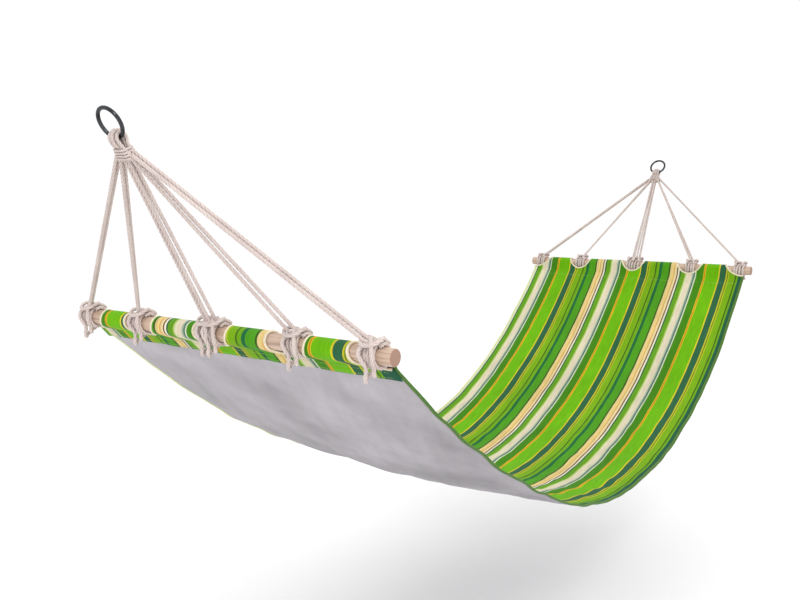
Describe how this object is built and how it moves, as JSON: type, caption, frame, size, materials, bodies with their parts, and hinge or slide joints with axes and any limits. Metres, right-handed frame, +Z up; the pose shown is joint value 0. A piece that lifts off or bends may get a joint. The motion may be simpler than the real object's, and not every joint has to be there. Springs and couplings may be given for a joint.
{
  "type": "spreader bar hammock",
  "caption": "Spreader bar hammock: a striped cloth bed between two wooden bars, hung by fans of rope from a steel ring at each end.",
  "frame": {"origin": "where the hook bears inside the top of the head ring", "axes": "+X from the head end to the foot end, +Y to the left of someone looking from head to foot, +Z up"},
  "size_m": [2.4816, 0.84, 0.9336],
  "materials": {
    "striped_cloth": "woven cotton with lengthwise stripes in greens, yellow and cream",
    "hem_cloth": "folded and stitched dark green hem",
    "rope": "twisted natural cotton rope",
    "bar_wood": "sanded pale hardwood dowel",
    "ring_steel": "polished steel"
  },
  "bodies": {
    "bed": {"bed_cloth": "striped_cloth", "left_side_hem": "hem_cloth", "right_side_hem": "hem_cloth", "head_sleeve_left_outer": "striped_cloth", "head_sleeve_left_inner": "striped_cloth", "head_sleeve_right_inner": "striped_cloth", "head_sleeve_right_outer": "striped_cloth", "foot_sleeve_left_outer": "striped_cloth", "foot_sleeve_left_inner": "striped_cloth", "foot_sleeve_right_inner": "striped_cloth", "foot_sleeve_right_outer": "striped_cloth"},
    "head_harness": {"head_bar": "bar_wood", "head_rope_eye": "rope", "head_whipping": "rope", "head_hitch_left_outer": "rope", "head_hitch_left_inner": "rope", "head_hitch_middle": "rope", "head_hitch_right_inner": "rope", "head_hitch_right_outer": "rope", "head_rope_01": "rope", "head_rope_02": "rope", "head_rope_03": "rope", "head_rope_04": "rope", "head_rope_05": "rope", "head_rope_06": "rope", "head_rope_07": "rope", "head_rope_08": "rope", "head_rope_09": "rope", "head_rope_10": "rope", "head_rope_11": "rope", "head_rope_12": "rope"},
    "head_ring": {"head_ring": "ring_steel"},
    "foot_harness": {"foot_bar": "bar_wood", "foot_rope_eye": "rope", "foot_whipping": "rope", "foot_hitch_left_outer": "rope", "foot_hitch_left_inner": "rope", "foot_hitch_middle": "rope", "foot_hitch_right_inner": "rope", "foot_hitch_right_outer": "rope", "foot_rope_01": "rope", "foot_rope_02": "rope", "foot_rope_03": "rope", "foot_rope_04": "rope", "foot_rope_05": "rope", "foot_rope_06": "rope", "foot_rope_07": "rope", "foot_rope_08": "rope", "foot_rope_09": "rope", "foot_rope_10": "rope", "foot_rope_11": "rope", "foot_rope_12": "rope"},
    "foot_ring": {"foot_ring": "ring_steel"}
  },
  "joints": [
    {"name": "head_harness_fold", "type": "hinge", "parent": "bed", "child": "head_harness", "pos_m": [0.22061, 0, -0.38992], "axis": [0, 1, 0], "range_deg": [0, 140]},
    {"name": "foot_harness_fold", "type": "hinge", "parent": "bed", "child": "foot_harness", "pos_m": [2.25061, 0, -0.38992], "axis": [0, -1, 0], "range_deg": [0, 140]},
    {"name": "head_ring_swing", "type": "hinge", "parent": "head_harness", "child": "head_ring", "pos_m": [0.02437, 0, -0.04308], "axis": [0, 1, 0], "range_deg": [-110, 110]},
    {"name": "foot_ring_swing", "type": "hinge", "parent": "foot_harness", "child": "foot_ring", "pos_m": [2.44684, 0, -0.04308], "axis": [0, -1, 0], "range_deg": [-110, 110]}
  ]
}
